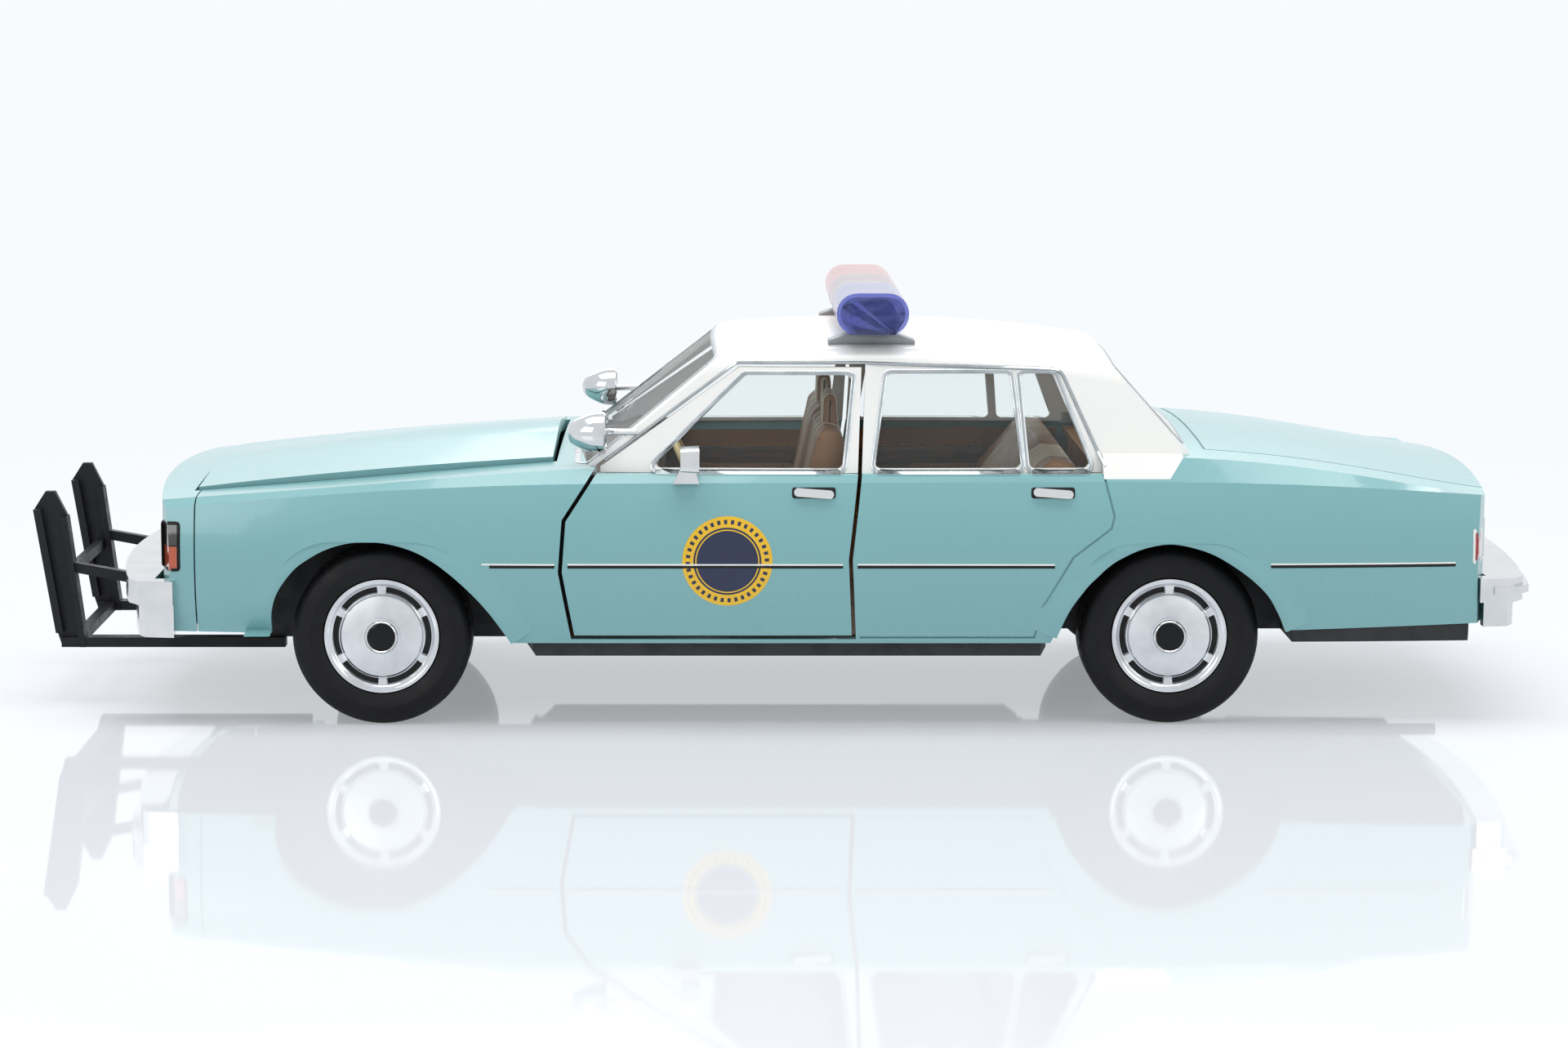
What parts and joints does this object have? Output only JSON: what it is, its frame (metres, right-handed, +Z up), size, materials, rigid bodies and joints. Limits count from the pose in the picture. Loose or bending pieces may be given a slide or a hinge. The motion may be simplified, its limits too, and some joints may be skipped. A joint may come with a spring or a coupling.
{
  "type": "police patrol car scale model",
  "caption": "Scale model of a boxy four-door police saloon with rolling wheels, steered front wheels, opening front doors and bonnet, light bar and push bumper.",
  "frame": {"origin": "on the floor under the middle of the car, on its centre plane", "axes": "+X towards the front of the car, +Y to its left, +Z up"},
  "size_m": [0.3174, 0.1099, 0.0893],
  "materials": {
    "body_paint": "gloss turquoise enamel",
    "roof_paint": "gloss cream enamel",
    "window_glass": "clear polystyrene",
    "lining": "tan, satin",
    "dash_plastic": "dark brown, matt",
    "chrome_plate": "vacuum-plated plastic",
    "lens_clear": "clear, moulded",
    "lens_amber": "transparent amber",
    "lens_red": "transparent red",
    "lens_blue": "transparent blue",
    "black_plastic": "satin black",
    "bar_grey": "light grey",
    "engine_metal": "grey, satin",
    "tyre_rubber": "matt black",
    "wheel_chrome": "vacuum-plated plastic"
  },
  "bodies": {
    "car": {"beacons": "chrome_plate", "body_shell": "body_paint", "chassis": "black_plastic", "corner_lamps": "lens_amber", "dashboard": "dash_plastic", "dome_blue": "lens_blue", "dome_clear": "lens_clear", "dome_red": "lens_red", "engine": "engine_metal", "engine_bay": "black_plastic", "exhaust": "engine_metal", "firewall": "black_plastic", "floor_tub": "lining", "front_axle": "black_plastic", "front_bumper": "chrome_plate", "front_seats": "lining", "grille": "chrome_plate", "header_panel": "body_paint", "headlamp_bezels": "chrome_plate", "headlamps": "lens_clear", "inner_wings": "black_plastic", "light_bar_base": "bar_grey", "push_bumper": "black_plastic", "radiator_support": "black_plastic", "rear_axle": "black_plastic", "rear_bumper": "chrome_plate", "rear_handles": "chrome_plate", "rear_seat": "lining", "rear_side_glass": "window_glass", "rear_window": "window_glass", "roof_panel": "roof_paint", "spotlights": "chrome_plate", "steering_wheel": "lining", "tail_lamps": "lens_red", "windshield": "window_glass"},
    "left_door": {"door_panel_left": "body_paint", "door_frame_left": "roof_paint", "door_glass_left": "window_glass", "door_card_left": "lining", "door_handle_left": "chrome_plate", "door_mirror": "chrome_plate"},
    "right_door": {"door_panel_right": "body_paint", "door_frame_right": "roof_paint", "door_glass_right": "window_glass", "door_card_right": "lining", "door_handle_right": "chrome_plate"},
    "bonnet": {"hood": "body_paint"},
    "left_knuckle": {"knuckle_left": "black_plastic"},
    "right_knuckle": {"knuckle_right": "black_plastic"},
    "front_left_wheel": {"tyre_front_left": "tyre_rubber", "rim_front_left": "wheel_chrome"},
    "front_right_wheel": {"tyre_front_right": "tyre_rubber", "rim_front_right": "wheel_chrome"},
    "rear_left_wheel": {"tyre_rear_left": "tyre_rubber", "rim_rear_left": "wheel_chrome"},
    "rear_right_wheel": {"tyre_rear_right": "tyre_rubber", "rim_rear_right": "wheel_chrome"}
  },
  "joints": [
    {"name": "left_door_hinge", "type": "hinge", "parent": "car", "child": "left_door", "pos_m": [0.04465, 0.0523, 0.036], "axis": [0, 0, -1], "range_deg": [0, 60]},
    {"name": "right_door_hinge", "type": "hinge", "parent": "car", "child": "right_door", "pos_m": [0.04465, -0.0523, 0.036], "axis": [0, 0, 1], "range_deg": [0, 60]},
    {"name": "bonnet_hinge", "type": "hinge", "parent": "car", "child": "bonnet", "pos_m": [0.04795, 0, 0.057], "axis": [0, -1, 0], "range_deg": [0, 55]},
    {"name": "left_steer", "type": "hinge", "parent": "car", "child": "left_knuckle", "pos_m": [0.08295, 0.0342, 0.01865], "axis": [0, 0, 1], "range_deg": [-22, 22]},
    {"name": "right_steer", "type": "hinge", "parent": "car", "child": "right_knuckle", "pos_m": [0.08295, -0.0342, 0.01865], "axis": [0, 0, 1], "range_deg": [-22, 22]},
    {"name": "front_left_spin", "type": "hinge", "parent": "left_knuckle", "child": "front_left_wheel", "pos_m": [0.08295, 0.0426, 0.01865], "axis": [0, 1, 0], "continuous": true},
    {"name": "front_right_spin", "type": "hinge", "parent": "right_knuckle", "child": "front_right_wheel", "pos_m": [0.08295, -0.0426, 0.01865], "axis": [0, 1, 0], "continuous": true},
    {"name": "rear_left_spin", "type": "hinge", "parent": "car", "child": "rear_left_wheel", "pos_m": [-0.08075, 0.042, 0.01865], "axis": [0, 1, 0], "continuous": true},
    {"name": "rear_right_spin", "type": "hinge", "parent": "car", "child": "rear_right_wheel", "pos_m": [-0.08075, -0.042, 0.01865], "axis": [0, 1, 0], "continuous": true}
  ],
  "couplings": [
    {"joint": "right_steer", "follows": "left_steer", "ratio": 1}
  ]
}
